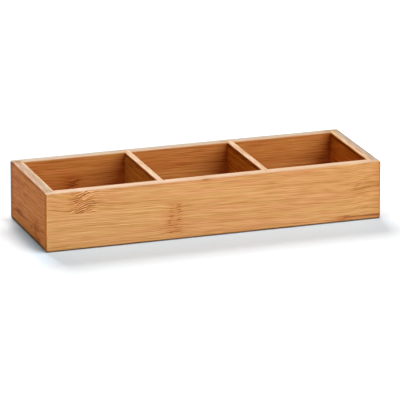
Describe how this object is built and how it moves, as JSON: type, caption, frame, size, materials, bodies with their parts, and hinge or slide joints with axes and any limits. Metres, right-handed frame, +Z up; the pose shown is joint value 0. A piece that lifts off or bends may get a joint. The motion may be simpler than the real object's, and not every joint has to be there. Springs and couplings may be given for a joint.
{
  "type": "storage box",
  "caption": "Low open-top storage box in laminated bamboo, with cross boards let into its long sides to divide it into compartments.",
  "frame": {"origin": "middle of the underside, on the plane that the box stands on", "axes": "+X along the length towards the right end board, +Y from the front board to the back board, +Z up out of the open top"},
  "size_m": [0.24, 0.085, 0.041],
  "materials": {
    "bamboo_sides": "satin lacquered caramel bamboo",
    "bamboo_ends": "satin lacquered caramel bamboo",
    "bamboo_dividers": "satin lacquered caramel bamboo",
    "bamboo_bottom": "satin lacquered caramel bamboo"
  },
  "bodies": {
    "root": {"front_board": "bamboo_sides", "back_board": "bamboo_sides", "left_end_board": "bamboo_ends", "right_end_board": "bamboo_ends", "left_divider": "bamboo_dividers", "right_divider": "bamboo_dividers", "bottom_board": "bamboo_bottom"}
  },
  "joints": []
}
